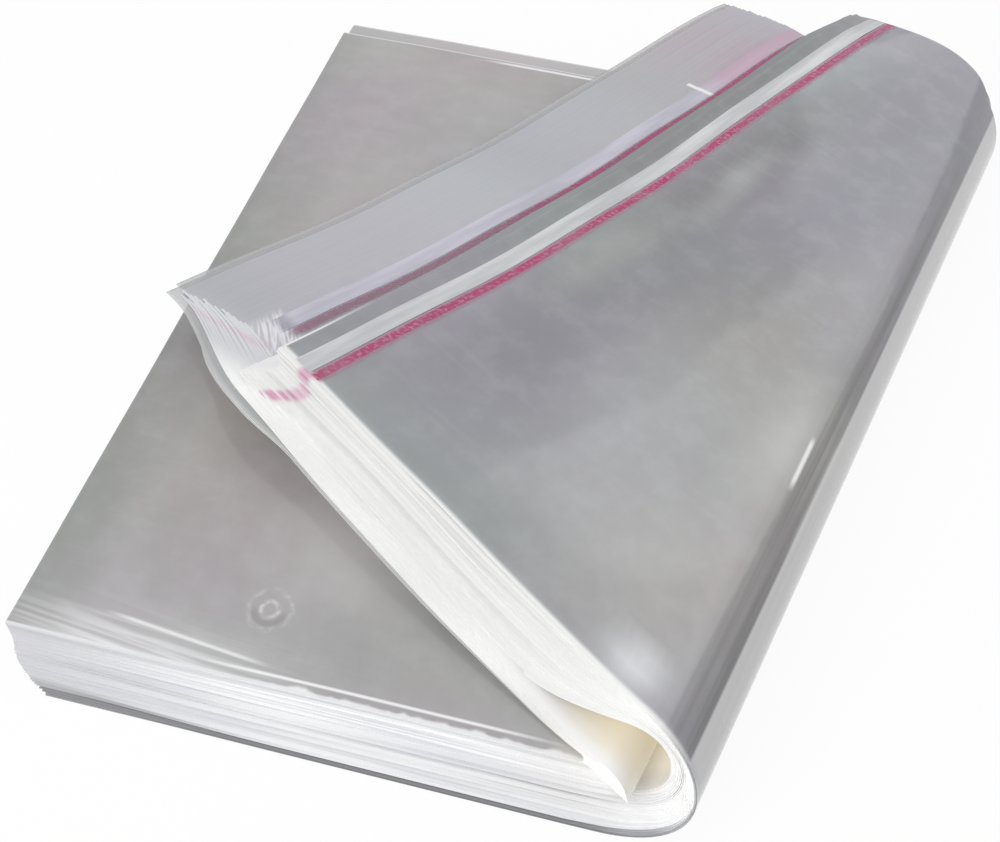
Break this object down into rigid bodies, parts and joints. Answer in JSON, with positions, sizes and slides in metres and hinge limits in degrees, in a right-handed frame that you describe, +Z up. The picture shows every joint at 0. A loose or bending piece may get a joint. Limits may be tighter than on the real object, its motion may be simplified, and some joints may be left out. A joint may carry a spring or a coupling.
{
  "type": "folded stack of clear self-seal bags",
  "caption": "Stack of clear film bags with self-seal flaps, folded over so that it springs open at the fold.",
  "frame": {"origin": "on the ground below the middle of the bounding box", "axes": "+Z up, square to the half that lies flat; +Y along the fold line; +X from the flat half towards the fold"},
  "size_m": [0.2304, 0.346, 0.0387],
  "materials": {
    "film": "glossy clear film, grey where many layers lie on each other",
    "adhesive": "pink pressure-sensitive adhesive line",
    "liner": "smooth white release liner"
  },
  "bodies": {
    "root": {"bag_bundle_01": "film", "bag_bundle_02": "film", "bag_bundle_03": "film", "bag_bundle_04": "film", "bag_bundle_05": "film", "bag_bundle_06": "film", "bag_bundle_07": "film", "bag_bundle_08": "film", "bag_bundle_09": "film", "bag_bundle_10": "film", "bag_bundle_11": "film", "bag_bundle_12": "film", "adhesive_line_inner": "adhesive", "adhesive_line_outer": "adhesive", "release_liner_inner": "liner", "release_liner_outer": "liner"}
  },
  "joints": []
}
